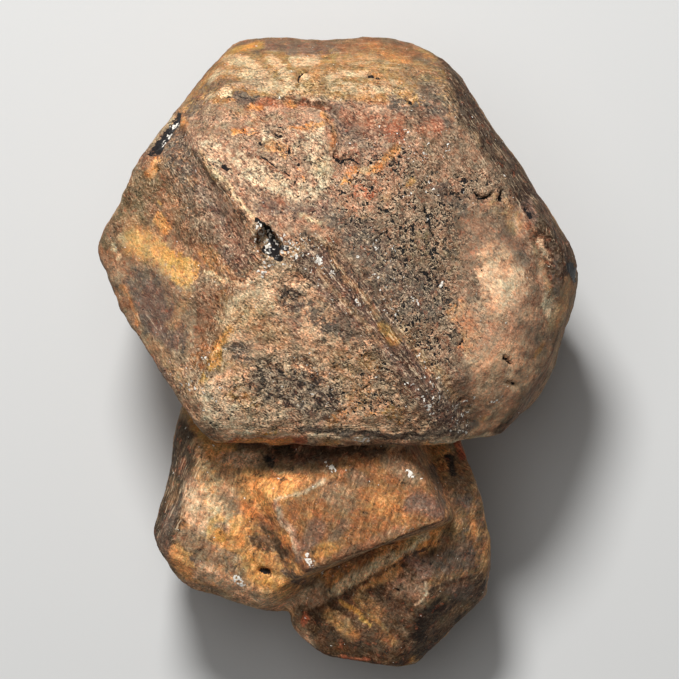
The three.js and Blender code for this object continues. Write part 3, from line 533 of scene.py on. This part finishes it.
# (path, half width, height): below zero it is a hole, a crack or a groove.
RELIEF = [
    ([(-3.3, 22.5), (-3.3, 23.1), (-2.6, 23.2)], 0.2, -0.6),
    ([(-3.4, 22.2), (-3.2, 22.6)], 0.12, -0.2),
    ([(2.4, 22.9), (2.9, 22.8)], 0.24, -0.5),
    ([(3.3, 22.6)], 0.18, -0.3),
    ([(-9.5, 21), (-8.8, 21.1)], 0.22, -0.5),
    ([(5.8, 20.7)], 0.3, -0.5),
    (
        [(-7.5, 20), (-6.3, 20.4), (-4.9, 20.5), (-2.5, 20.4), (-0.3, 19.9), (0.4, 18.7), (2.1, 17.5)],
        0.15,
        -0.2,
    ),
    ([(-5.1, 17.9), (-4.8, 17.8)], 0.3, -0.6),
    ([(-6.5, 17.2), (-6.3, 16.9)], 0.2, -0.35),
    ([(-4.1, 16.7), (-4, 16.4)], 0.24, -0.6),
    ([(-4.5, 15.9)], 0.15, -0.45),
    ([(-6.3, 16), (-5, 15.1), (-4, 14.5)], 0.12, -0.3),
    ([(-3.6, 13.8), (-3.3, 14.3)], 0.12, -0.3),
    ([(-0.3, 16.1), (0.1, 15.7)], 0.24, -0.6),
    ([(0.4, 15.8), (0.9, 16), (1.5, 15.6)], 0.22, -0.6),
    ([(-9.4, 15.3), (-9, 15)], 0.2, -0.3),
    ([(-14.9, 15)], 0.25, -0.6),
    ([(-13.5, 19.4), (-14.3, 18.1), (-15.2, 16.7)], 0.6, -0.4),
    ([(5, 18.9), (5.4, 18.6)], 0.14, -0.25),
    ([(6.9, 12.1), (7.5, 10), (8.1, 8.8)], 0.14, -0.3),
    ([(6.6, 6.8), (7.6, 6), (8.9, 5.2)], 0.15, -0.3),
    ([(11, 13.2), (11.4, 12.7), (12, 12.7), (12.4, 13.1)], 0.2, -0.55),
    ([(9.6, 14.4)], 0.2, -0.4),
    ([(9, 13.2), (9.8, 12.6)], 0.18, -0.35),
    ([(13.3, 13.4), (13.1, 12.6)], 0.2, -0.4),
    ([(13.4, -0.2), (14, -0.8)], 0.15, -0.35),
    ([(13.7, -2.2), (14.3, -2.5)], 0.15, -0.3),
    ([(15.2, 12), (15.7, 11.2)], 0.28, -0.5),
    ([(11.6, 0.5)], 0.15, -0.25),
    ([(-6.5, -18.1), (-6, -18.2)], 0.45, -0.6),
    ([(4.8, -19.7)], 0.22, -0.4),
    ([(7.1, -11.9)], 0.12, -0.25),
    ([(-1.8, 7.9), (1.6, 4.5), (4.8, 0.5), (7.3, -2.8), (9.8, -5.8)], 0.7, 0.14),
    ([(-1.2, 8.1), (2.2, 4.9), (5.4, 0.9), (8, -2.6)], 0.2, -0.1),
    ([(-2.2, 7.3), (1, 4), (4.2, 0), (6.8, -3.4)], 0.2, -0.1),
    ([(-8.2, 4.9), (-9.1, 1.7), (-10.2, -0.2), (-10.9, -2.2)], 0.45, 0.22),
    ([(-11.4, 16.6), (-9.2, 14.2), (-6.8, 10.8)], 0.16, 0.12),
    ([(-11.9, 16.6), (-9.8, 14.2), (-7.4, 10.8)], 0.14, 0.1),
    ([(-10.7, 16.4), (-8.6, 14), (-6.3, 11.2)], 0.12, 0.08),
]

# Small pits strewn by chance over the pitted ground
PITS_PER_MM2 = 0.6
PIT_RADII = (0.07, 0.15)
PIT_DEPTH = 0.22

# The pitch-black breaks, (path, half width, lowest level)
BREAKS = [
    ([(-6.6, 10.8), (-6.2, 10.5)], 0.22, 24),
    ([(-5.8, 10), (-5.4, 9.3), (-5.1, 8.6)], 0.3, 24),
    ([(-5.9, 8.5), (-5.3, 8.2), (-4.8, 7.8)], 0.36, 24),
    ([(-4.7, 8.8), (-4.3, 8.5)], 0.22, 24),
    ([(-13.3, 19.7), (-14.1, 18.3), (-15, 16.8)], 0.26, 23),
    ([(19, 7.3), (19.6, 6.4)], 0.4, 20),
]

# Chance patches all round, as (colour, strength, wavelength, noise where they begin and where they are full)
PATCHES = [
    ("tan", 0.8, 9, 0, 0.5),
    ("umber", 0.8, 7, 0, 0.5),
    ("olive", 0.7, 8, 0.1, 0.5),
    ("slate", 0.8, 6, 0.15, 0.5),
    ("ochre", 0.6, 5, 0.25, 0.6),
    ("rust", 0.5, 4, 0.25, 0.6),
    ("cream", 0.6, 5, 0.3, 0.7),
]


# ---- Fields over the skin ----

SMOOTHNESS = 0.9
LACUNARITY = 2.0
# How far a noise moves for each 1 of its seed
FRACTAL_SHIFT = (17.3, 5.1, 9.7)
RIDGED_SHIFT = (3.9, 11.2, 7.7)


def smooth_step(low, high, values):
    t = np.clip((values - low) / (high - low), 0, 1)
    return t * t * (3 - 2 * t)


def fractal(places, wavelength, seed, octaves=4):
    """Fractal noise of about -1 to 1 at each place."""
    shifted = (places / wavelength + np.array(FRACTAL_SHIFT) * seed).tolist()
    return np.array([noise.fractal(place, SMOOTHNESS, LACUNARITY, octaves) for place in shifted])


def ridged(places, wavelength, seed):
    """Ridged noise of about 0 to 1: sharp crests between round hollows."""
    shifted = (places / wavelength + np.array(RIDGED_SHIFT) * seed).tolist()
    octaves, offset, gain = 3, 1.0, 2.0
    values = [noise.ridged_multi_fractal(at, SMOOTHNESS, LACUNARITY, octaves, offset, gain) for at in shifted]
    return np.clip(np.array(values) / 2, 0, 1)


def sway(places, wavelength, seed, octaves=4):
    """Noise of about -1 to 1 in X and in Y, and none in Z."""
    along_x, along_y = (fractal(places, wavelength, seed + step, octaves) for step in (0, 1))
    return np.stack([along_x, along_y, np.zeros(len(places))], axis=1)


def distance_to(path, places):
    """Distance, seen from above, from each place to a path of points."""
    flat = places[:, :2]
    points = np.array(path, dtype=float)
    nearest = np.linalg.norm(flat - points[0], axis=1)
    for start, end in zip(points[:-1], points[1:]):
        along = end - start
        share = np.clip((flat - start) @ along / (along @ along), 0, 1)
        nearest = np.minimum(nearest, np.linalg.norm(flat - start - share[:, None] * along, axis=1))
    return nearest


def depth_inside(corners, places):
    """Distance to the outline through the corners, seen from above: positive inside it, negative outside."""
    x, y = places[:, 0], places[:, 1]
    inside = np.zeros(len(places), dtype=bool)
    for (x0, y0), (x1, y1) in zip(corners, corners[1:] + corners[:1]):
        if y0 != y1:
            inside ^= ((y0 > y) != (y1 > y)) & (x < (x1 - x0) * (y - y0) / (y1 - y0) + x0)
    return np.where(inside, 1, -1) * distance_to(corners + corners[:1], places)


def spread(strokes, places, upward):
    """How much each place is covered by soft strokes on the upward side, from 0 to 1."""
    cover = np.zeros(len(places))
    for path, half_width, strength in strokes:
        reach = distance_to(path, places) / half_width
        cover = np.maximum(cover, strength * smooth_step(1.4, 0.6, reach))
    return cover * upward


def strewn_pits(places, strokes):
    """How deep each place lies in small random pits on the strokes, from 0 to 1."""
    chance = np.random.default_rng(7)
    depth = np.zeros(len(places))
    for path, half_width, strength in strokes:
        points = np.array(path, dtype=float)
        low, high = points.min(axis=0) - half_width, points.max(axis=0) + half_width
        count = int(PITS_PER_MM2 * strength * np.prod(high - low))
        for x, y in chance.uniform(low, high, (count, 2)):
            radius = chance.uniform(*PIT_RADII)
            stretch = chance.uniform(1, 2.2)
            turn = np.radians(chance.uniform(-80, 80))
            if distance_to(path, np.array([[x, y]]))[0] > half_width * chance.uniform(0.7, 1.2):
                continue
            flat = places[:, 0] - x + 1j * (places[:, 1] - y)
            top = places[abs(flat).argmin(), 2]
            near = np.hypot(abs(flat), places[:, 2] - top) < 3 * radius * stretch
            across = flat[near] * np.exp(-1j * turn)
            reach = np.hypot(across.real / stretch, across.imag) / radius
            depth[near] = np.maximum(depth[near], np.clip(1.5 - reach, 0, 1))
    return depth


def black_breaks(places):
    """How glassy each place is, from 0 to 1."""
    shards = fractal(places, 0.5, 26, 2)
    glassy = np.zeros(len(places))
    for path, half_width, lowest in BREAKS:
        reach = distance_to(path, places) / half_width + 0.6 * shards
        above = smooth_step(lowest - 1, lowest, places[:, 2])
        glassy = np.maximum(glassy, above * smooth_step(1.7, 0.3, reach))
    return glassy


# ---- Colour over the skin ----

# The least red, green or blue of the ground
DARKEST = 0.005
# Every place gets this much paint, so that it can be divided by its cover.
LEAST_COVER = 0.001


def mixed(colours, name, share):
    return colours + (np.array(COLOURS[name]) - colours) * share[:, None]


def ground_all_round(places):
    """The colour that the mineral has all round, before the grounds and stains of the front."""
    colours = np.tile(COLOURS["drab"], (len(places), 1))
    for seed, (name, strength, wavelength, begins, full) in enumerate(PATCHES, 1):
        share = strength * smooth_step(begins, full, fractal(places, wavelength, seed))
        colours = mixed(colours, name, share)
    return colours


def unsteady(places):
    """The places, moved a little by chance, so that what is drawn there has uneven edges."""
    return places + 0.3 * sway(places, 2.6, 11) + 0.16 * sway(places, 0.8, 13, 3)


def ground_of_faces(places, moved, upward):
    ragged = fractal(places, 1.1, 15)
    colours = ground_all_round(places)
    for name, corners in GROUNDS:
        depth = depth_inside(corners, moved) + 0.25 * ragged
        colours = mixed(colours, name, 0.93 * upward * smooth_step(-0.35, 0.35, depth))
    colours *= (1 + 0.3 * fractal(places, 2.4, 16) + 0.2 * ragged)[:, None]
    return np.maximum(colours, DARKEST)


def stains_and_painted_light_over(ground, moved, upward):
    """The colour of the stains, painted shadows and highlights, and how much they cover at each place."""
    paint = LEAST_COVER * ground
    cover = np.full(len(ground), LEAST_COVER)
    for name, path, half_width, strength in STAINS_AND_PAINTED_LIGHT:
        share = strength * upward * smooth_step(1.5, 0.5, distance_to(path, moved) / half_width)
        paint = paint * (1 - share)[:, None] + np.array(COLOURS[name]) * share[:, None]
        cover = cover * (1 - share) + share
    return paint / cover[:, None], cover


# ---- The net of the skin ----

COARSE_VOXEL = 0.42
WELD = 0.0005
# The faces turned up by more than the tilt, and above the level of their crystal, get the finer net.
FRONT_TILT = 0.1
FRONT_LEVEL = 22.0
SMALL_CRYSTALS_END = -7.5
SMALL_CRYSTALS_LEVEL = 10.0


def link(name, mesh):
    piece = bpy.data.objects.new(name, mesh)
    bpy.context.scene.collection.objects.link(piece)
    return piece


def merged_copy(node):
    """The node's solid with its loose triangles joined."""
    solid = bmesh.new()
    solid.from_mesh(node.data)
    bmesh.ops.remove_doubles(solid, verts=solid.verts, dist=WELD * MM)
    mesh = bpy.data.meshes.new("betafite_skin")
    solid.to_mesh(mesh)
    solid.free()
    return mesh


def apply_modifiers(piece):
    depsgraph = bpy.context.evaluated_depsgraph_get()
    mesh = bpy.data.meshes.new_from_object(piece.evaluated_get(depsgraph))
    piece.modifiers.clear()
    piece.data = mesh


def is_front(face):
    centre = face.calc_center_median() / MM
    level = SMALL_CRYSTALS_LEVEL if centre.y < SMALL_CRYSTALS_END else FRONT_LEVEL
    return face.normal.z > FRONT_TILT and centre.z > level


def refine_front(mesh):
    """Cuts the faces of the front in four, which halves the net's width there."""
    net = bmesh.new()
    net.from_mesh(mesh)
    edges = {edge for face in net.faces if is_front(face) for edge in face.edges}
    bmesh.ops.subdivide_edges(net, edges=list(edges), cuts=1, use_grid_fill=True)
    bmesh.ops.smooth_vert(net, verts=net.verts, factor=0.5, use_axis_x=True, use_axis_y=True, use_axis_z=True)
    net.to_mesh(mesh)
    net.free()


def make_net():
    """An even net over the solid, finer on the front."""
    skin = link("betafite_skin", merged_copy(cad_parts[NODE]))
    remesh = skin.modifiers.new("remesh", "REMESH")
    remesh.mode = "VOXEL"
    remesh.voxel_size = COARSE_VOXEL * MM
    skin.modifiers.new("smooth", "SMOOTH").iterations = 3
    skin.modifiers.new("wrap", "SHRINKWRAP").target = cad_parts[NODE]
    skin.modifiers.new("soften", "SMOOTH").iterations = 1
    apply_modifiers(skin)
    refine_front(skin.data)
    return skin


def vectors_of(owner, name):
    """Three numbers for each item of a mesh's list."""
    values = np.empty(len(owner) * 3, dtype=np.float32)
    owner.foreach_get(name, values)
    return values.reshape(-1, 3).astype(float)


def keep(mesh, name, values):
    """Stores one value or one colour per vertex as an attribute."""
    kind, field = "FLOAT", "value"
    if values.ndim == 2:
        kind, field = "FLOAT_COLOR", "color"
        values = np.pad(values, ((0, 0), (0, 1)), constant_values=1)
    data = mesh.attributes.new(name, kind, "POINT").data
    data.foreach_set(field, values.astype(np.float32).ravel())


# ---- The skin ----

# The upward part of the normal where the front begins and where it is full
FRONT_SLOPES = (0.0, 0.35)
# The levels between which the skin turns from soft to crisp
CRISP_LEVELS = (21, 27.5)
# Where along Y the wispy pattern of the small crystals begins and where it is full
WISPY_EDGE = (-6.8, -7.8)
# The relief comes in over this height above the resting face.
FOOT = 0.5


def fields_of(places, upward, unpitted):
    """What the material asks of each place, from 0 to 1."""
    crisp = smooth_step(*CRISP_LEVELS, places[:, 2]) * 0.65 + 0.35
    crisp *= 1 - spread(SMOOTHED, places, upward)
    crisp = np.maximum(crisp, 0.7 * (1 - upward))
    side_pits = 0.5 * smooth_step(0.0, 0.4, fractal(places, 6, 8)) * (1 - upward)
    fields = {
        "crisp": crisp,
        "wispy": 0.3 * (1 - crisp) + 0.7 * smooth_step(*WISPY_EDGE, places[:, 1]),
        "crinkled": np.maximum(0.3 * crisp, spread(CRINKLED, places, upward)) * unpitted,
        "pitted": np.maximum(0.2 + side_pits, spread(PITTED, places, upward)) * unpitted,
        "glinted": np.maximum(0.15, spread(GLINTED, places, upward)),
        "crust_and_glinted": spread(CRUST_AND_GLINTS, places, upward),
        "glassy": black_breaks(places),
    }
    for name, (_, strokes) in LINES.items():
        fields[name + "_lines"] = spread(strokes, places, upward)
    return fields


def relief_of(places, upward, unpitted, fields):
    """The height of the fine relief, and from 0 to 1 how deep in a hole, crack, groove or pit each place is,
    which the material paints black as shade.
    """
    height = 0.1 * fractal(places, 3.2, 21)
    height += 0.13 * fields["crisp"] * fractal(places, 1.1, 22)
    height += 0.25 * fields["crinkled"] * (ridged(places, 0.9, 23) - 0.5)
    warped = places + 0.12 * sway(places, 0.7, 24, 2)
    cavity_shade = np.zeros(len(places))
    for path, half_width, rise in RELIEF:
        reach = distance_to(path, warped) / half_width
        height += rise * smooth_step(1.3, 0.4, reach) * upward
        if rise < 0:
            deep = smooth_step(1.8, 0.0, reach) * smooth_step(0.12, 0.32, -rise)
            cavity_shade = np.maximum(cavity_shade, deep * upward)
    strewn = strewn_pits(places, PITTED) * upward * unpitted
    height -= PIT_DEPTH * strewn
    height -= smooth_step(0.3, 0.7, fields["glassy"]) * (0.05 + 0.2 * ridged(places, 0.7, 27))
    return height * smooth_step(0.0, FOOT, places[:, 2]), np.maximum(cavity_shade, 0.8 * strewn)


def make_skin():
    skin = make_net()
    mesh = skin.data
    places = vectors_of(mesh.vertices, "co") / MM
    normals = vectors_of(mesh.vertex_normals, "vector")
    upward = smooth_step(*FRONT_SLOPES, normals[:, 2])
    unpitted = 1 - spread(UNPITTED, places, upward)
    fields = fields_of(places, upward, unpitted)
    height, fields["cavity_shade"] = relief_of(places, upward, unpitted, fields)

    unsteady_places = unsteady(places)
    ground = ground_of_faces(places, unsteady_places, upward)
    stain_and_painted_light, cover = stains_and_painted_light_over(ground, unsteady_places, upward)
    for name, values in {**fields, "ground": ground, "stain_and_painted_light": stain_and_painted_light, "cover": cover}.items():
        keep(mesh, name, values)

    lowest, highest = (np.array(corner) / MM for corner in CAD_BOX)
    moved = np.clip(places + normals * height[:, None], lowest, highest)
    mesh.vertices.foreach_set("co", (moved * MM).ravel())
    mesh.update()
    for polygon in mesh.polygons:
        polygon.use_smooth = True
    return skin


# ---- Shader maths ----


class Value:
    """A number or a colour that a material works out. Its operators add Math nodes."""

    def __init__(self, finish, socket):
        self.finish = finish
        self.socket = socket

    def __add__(self, other):
        return self.finish.math("ADD", self, other)

    def __sub__(self, other):
        return self.finish.math("SUBTRACT", self, other)

    def __rsub__(self, other):
        return self.finish.math("SUBTRACT", other, self)

    def __mul__(self, other):
        return self.finish.math("MULTIPLY", self, other)

    __radd__ = __add__
    __rmul__ = __mul__


class Finish:
    """A material under construction."""

    def __init__(self, name):
        self.material = bpy.data.materials.new(name)
        self.material.use_nodes = True
        self.tree = self.material.node_tree
        self.tree.nodes.clear()

    def node(self, kind, settings, inputs, output=0):
        """Adds a node. Settings are set first, then each input is set or linked."""
        node = self.tree.nodes.new(kind)
        for name, value in settings.items():
            setattr(node, name, value)
        for name, value in inputs.items():
            if isinstance(value, Value):
                self.tree.links.new(value.socket, node.inputs[name])
            else:
                node.inputs[name].default_value = value
        return Value(self, node.outputs[output]) if node.outputs else None

    def math(self, operation, first, second):
        return self.node("ShaderNodeMath", {"operation": operation}, {0: first, 1: second})

    def vector(self, operation, first, second, third=(0, 0, 0)):
        inputs = {0: first, 1: second, 2: third}
        return self.node("ShaderNodeVectorMath", {"operation": operation}, inputs)

    def scaled(self, colour, gain):
        return self.node("ShaderNodeVectorMath", {"operation": "SCALE"}, {0: colour, "Scale": gain})

    def attribute(self, name, output="Fac"):
        return self.node("ShaderNodeAttribute", {"attribute_name": name}, {}, output)

    def between(self, low, high, value):
        """A smooth step from 0, where the value is low, to 1, where it is high."""
        inputs = {"Value": value, "From Min": low, "From Max": high}
        return self.node("ShaderNodeMapRange", {"interpolation_type": "SMOOTHSTEP"}, inputs)

    def near_zero(self, width, value):
        """1 where the value is 0, down to 0 where it is the width away from that."""
        return self.between(width, 0.0, self.math("ABSOLUTE", value, 0.0))

    def mix(self, share, first, second, blend="MIX"):
        """Mixes two colours."""
        first, second = (c if isinstance(c, Value) else (*c, 1) for c in (first, second))
        settings = {"data_type": "RGBA", "blend_type": blend}
        return self.node("ShaderNodeMix", settings, {0: share, 6: first, 7: second}, 2)

    def noise(self, place, per_mm, shift, detail=1.0, distortion=0.0, roughness=0.6):
        """Noise of 0 to 1, with its own shift so that no two patterns are alike."""
        moved = self.vector("ADD", place, (shift, -shift, 2 * shift))
        inputs = {"Vector": moved, "Scale": per_mm, "Detail": detail}
        inputs |= {"Roughness": roughness, "Distortion": distortion}
        return self.node("ShaderNodeTexNoise", {}, inputs)

    def cells(self, place, per_mm, output="Distance", feature="F1"):
        """Cells round evenly strewn points: the distance to the point or to the edge, or a chance colour."""
        inputs = {"Vector": place, "Scale": per_mm}
        return self.node("ShaderNodeTexVoronoi", {"feature": feature}, inputs, output)

    def turned(self, place, degrees, stretch):
        """Places for a pattern that is stretched along a direction of the level plane."""
        settings = {"vector_type": "TEXTURE"}
        inputs = {"Vector": place, "Rotation": (0, 0, np.radians(degrees)), "Scale": (stretch, 1, 1)}
        return self.node("ShaderNodeMapping", settings, inputs)

    def tinted(self, colour, hue, reddest, bluest):
        """The colour times a tint that goes with the noise hue."""
        return self.mix(1.0, colour, self.mix(self.between(*HUE_EDGES, hue), reddest, bluest), "MULTIPLY")


# ---- The mineral ----

# The noise where a tint is reddest and where it is bluest
HUE_EDGES = (0.36, 0.64)
# Turn and stretch of the patterns
COMB = (-40, 1.8)
WISPS = (68, 2.6)
PRICKS = (-50, 1.2)
LINE_STRETCH = 12
# From a pit to the painted highlight on its lower right rim
HIGHLIGHT_RIM_OFFSET = (-0.06, 0.08, 0)
# How many times lighter the colour is for each 1 of tone
TONE_BASE = 3.2
SCALES_PER_MM = 2.1
PITS_PER_MM = 1.9


def ground_stains_and_painted_light(finish, place, crisp, spots):
    """Ground, stains and painted shadows and highlights, whose edges break up into small spots, with two
    sizes of tint over them.
    """
    ragged_cover = finish.attribute("cover") + (spots - 0.5) * (crisp * 1.4 + 1.2)
    softness = 0.4 - crisp * 0.26
    share = finish.between(0.5 - softness, 0.5 + softness, ragged_cover)
    colour = finish.mix(share, finish.attribute("ground", "Color"), finish.attribute("stain_and_painted_light", "Color"))
    fine_hue = finish.noise(place, 4.1, 5.7, detail=2.0)
    colour = finish.tinted(colour, fine_hue, (1.08, 0.97, 0.9), (0.93, 1.0, 1.04))
    wide_hue = finish.noise(place, 0.9, 47.9, detail=3.0, roughness=0.7)
    colour = finish.tinted(colour, wide_hue, (1.12, 0.95, 0.87), (0.91, 1.02, 1.02))
    red = finish.noise(place, 1.6, 23.3, detail=3.0, roughness=0.7)
    return finish.mix(finish.between(0.58, 0.66, red) * 0.35, colour, COLOURS["brick"])


def pits_at(finish, place, level, radius):
    """Uneven pits where the noise is above the level, and round ones of the radius."""
    uneven = finish.noise(place, 3.9, 11.3, distortion=0.9)
    uneven = finish.between(0.0, 0.025, uneven - level)
    round_ones = finish.between(0.0, 0.06, radius - finish.cells(place, PITS_PER_MM))
    return finish.math("MAXIMUM", uneven, round_ones)


def make_altered_skin():
    """Dull, brown mineral with stains, pits and glassy pitch-black breaks, and with painted shade, shadows,
    highlights and glints.
    """
    finish = Finish("altered_betafite")
    metres = finish.node("ShaderNodeTexCoord", {}, {}, "Object")
    place = finish.scaled(metres, 1 / MM)
    crisp, crinkled, wispy, pitted = map(finish.attribute, ("crisp", "crinkled", "wispy", "pitted"))
    spots = finish.noise(place, 1.7, 3.1, detail=4.0, roughness=0.7)
    colour = ground_stains_and_painted_light(finish, place, crisp, spots)

    # Fine parallel lines, some of them light
    lines, crests = 0.0, 0.0
    for name, (turn, _) in LINES.items():
        along = finish.turned(place, turn, LINE_STRETCH)
        pattern = finish.noise(along, 4.6, 2.3, detail=2.0, roughness=0.7)
        weight = finish.attribute(name + "_lines")
        lines = (pattern - 0.5) * weight + lines
        crests = finish.between(0.60, 0.68, pattern) * weight + crests

    # Mottle, grain, small scales and wisps, which make the tone lighter or darker; as most of them also raise
    # the bump, the tone is partly painted highlight where the skin is raised and painted shade where it is
    # low
    combed = finish.turned(place, *COMB)
    swaying = finish.node("ShaderNodeTexNoise", {}, {"Vector": place, "Scale": 2.8}, "Color")
    swayed = finish.vector("MULTIPLY_ADD", swaying, (0.7, 0.7, 0.7), place)
    mottle = finish.noise(place, 1.1, 17.1, detail=4.0, roughness=0.7)
    patches = finish.between(0.35, 0.6, finish.noise(place, 0.7, 41.1, detail=2.0))
    grain = finish.noise(combed, 7.0, 7.9, detail=1.5, distortion=0.4, roughness=0.8)
    scales = finish.cells(swayed, SCALES_PER_MM, "Color")
    streaks = finish.turned(place, *WISPS)
    wisps = finish.noise(streaks, 2.6, 37.3, detail=3.0, distortion=1.1, roughness=0.7)
    tone = (mottle - 0.5) * 1.6 + (grain - 0.5) * (crisp * (patches * 2.5 + 2.0)) + lines * 3.0
    tone = tone + (wisps - 0.5) * wispy * 3.6 + (scales - 0.5) * crinkled * 1.2 - 0.1
    colour = finish.scaled(colour, finish.math("POWER", TONE_BASE, tone))

    # Pale crests; the palest tone as partly painted highlight, and curled flakes with painted highlights; the
    # darkest tone as partly painted shade, painted shadow in the gaps beside the flakes, and dark seams
    curls = finish.noise(combed, 1.3, 9.1, detail=3.0, distortion=0.9) - 0.5
    highlit_flakes = finish.near_zero(0.07, curls) * crinkled
    shaded_gaps = finish.near_zero(0.06, curls - 0.12) * crinkled
    edges = finish.cells(swayed, SCALES_PER_MM, feature="DISTANCE_TO_EDGE")
    seams = finish.between(0.07, 0.0, edges) * crinkled
    pale = finish.between(0.15, 0.8, tone) * 0.55 * crisp
    for share in (pale, crests * 0.75, highlit_flakes * 0.6):
        colour = finish.mix(share, colour, COLOURS["bone"])
    dark = finish.between(-0.5, -1.0, tone) * 0.7
    for share in (dark, shaded_gaps * 0.7, seams * 0.8):
        colour = finish.mix(share, colour, COLOURS["pitch"])

    # Pits in clusters, each with a painted highlight on its lower right rim
    clusters = finish.noise(place, 0.8, 29.3) - 0.5
    pit_level = 0.79 - pitted * 0.19 - clusters * 0.3
    radius = pitted * (clusters * 0.6 + 0.25)
    pricked = finish.turned(swayed, *PRICKS)
    pits = pits_at(finish, pricked, pit_level, radius)
    rim_highlights = pits_at(finish, finish.vector("ADD", pricked, HIGHLIGHT_RIM_OFFSET), pit_level, radius)
    colour = finish.mix(rim_highlights * 0.7 * crisp, colour, COLOURS["bone"])

    # Glassy breaks, black of their own, and painted shade in the pits and deep cavities, all black
    shreds = finish.noise(place, 1.9, 31.7, detail=4.0, roughness=0.7)
    glass = finish.between(-0.04, 0.04, finish.attribute("glassy") + (shreds - 0.5) * 2.4 - 0.5)
    cavity_shade = finish.between(-0.05, 0.05, finish.attribute("cavity_shade") + (shreds - 0.5) * 1.6 - 0.7)
    shade_and_glass = finish.math("MAXIMUM", finish.math("MAXIMUM", pits * crisp, cavity_shade), glass)
    colour = finish.mix(shade_and_glass, colour, COLOURS["pitch"])

    # Painted white glints, and white spots that are partly crust and partly painted glints
    glint_level = 0.765 - finish.attribute("glinted") * 0.14
    glints = finish.noise(place, 3.0, 13.7, detail=1.5, distortion=0.5)
    glints = finish.between(0.0, 0.02, glints - glint_level)
    crust_and_glint_level = 0.95 - finish.attribute("crust_and_glinted") * 0.56
    shards = finish.mix(0.35, finish.cells(place, 4.6, "Color"), shreds)
    crust_and_glint_spots = finish.between(0.0, 0.04, shards - crust_and_glint_level)
    white = finish.math("MAXIMUM", glints, crust_and_glint_spots)
    colour = finish.mix(white, colour, COLOURS["glint_and_crust_white"])

    relief = mottle * 0.3 + grain * 0.08 + spots * 0.1 + lines * 0.2 + highlit_flakes * 0.05
    relief = relief - shaded_gaps * 0.05 - seams * 0.05 + wisps * wispy * 0.1 - pits * 0.15 + white * 0.06
    relief = relief * (crisp * 0.8 + 0.2)
    inputs = {
        "Base Color": colour,
        "Roughness": 0.8 - white * 0.4,
        "Specular IOR Level": 0.25,
        "Coat Weight": glass * 0.25,
        "Coat Roughness": 0.2,
        "Normal": finish.node("ShaderNodeBump", {}, {"Strength": 1.0, "Distance": MM, "Height": relief}),
    }
    shader = finish.node("ShaderNodeBsdfPrincipled", {}, inputs)
    finish.node("ShaderNodeOutputMaterial", {}, {"Surface": shader})
    return finish.material


# ---- Stage ----

FLOOR_HALF = 2000
FLOOR_COLOUR = (0.62, 0.62, 0.61, 1)
# Each lamp is (name, place, what it shines on, diameter, watts)
LAMPS = [
    ("key", (-45, 175, 290), (0, 4, 14), 80, 1.2),
    ("fill", (-60, 60, 420), (0, 0, 10), 260, 0.35),
]
SKY_COLOUR = (1, 1, 1, 1)
SKY_STRENGTH = 0.10


def make_floor():
    floor_shape = bmesh.new()
    bmesh.ops.create_grid(floor_shape, x_segments=1, y_segments=1, size=FLOOR_HALF * MM)
    mesh = bpy.data.meshes.new("floor")
    floor_shape.to_mesh(mesh)
    floor_shape.free()
    paint = Finish("pale_floor")
    inputs = {"Base Color": FLOOR_COLOUR, "Roughness": 0.9}
    shader = paint.node("ShaderNodeBsdfPrincipled", {}, inputs)
    paint.node("ShaderNodeOutputMaterial", {}, {"Surface": shader})
    mesh.materials.append(paint.material)
    floor = link("floor", mesh)


def make_lamp(name, place, target, diameter, watts):
    data = bpy.data.lights.new(name, "AREA")
    data.shape = "DISK"
    data.size = diameter * MM
    data.energy = watts
    lamp = bpy.data.objects.new(name, data)
    lamp.location = Vector(place) * MM
    aim = Vector(target) * MM - lamp.location
    lamp.rotation_euler = aim.to_track_quat("-Z", "Y").to_euler()
    bpy.context.scene.collection.objects.link(lamp)


def make_stage():
    make_floor()
    for lamp in LAMPS:
        make_lamp(*lamp)
    world = bpy.data.worlds.new("studio")
    world.use_nodes = True
    sky = world.node_tree.nodes["Background"].inputs
    sky["Color"].default_value = SKY_COLOUR
    sky["Strength"].default_value = SKY_STRENGTH
    bpy.context.scene.world = world
    bpy.context.scene.view_settings.view_transform = "Standard"


make_camera()
make_stage()
skin = make_skin()
skin.data.materials.clear()
skin.data.materials.append(make_altered_skin())
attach(skin, "root")
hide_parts(NODE)
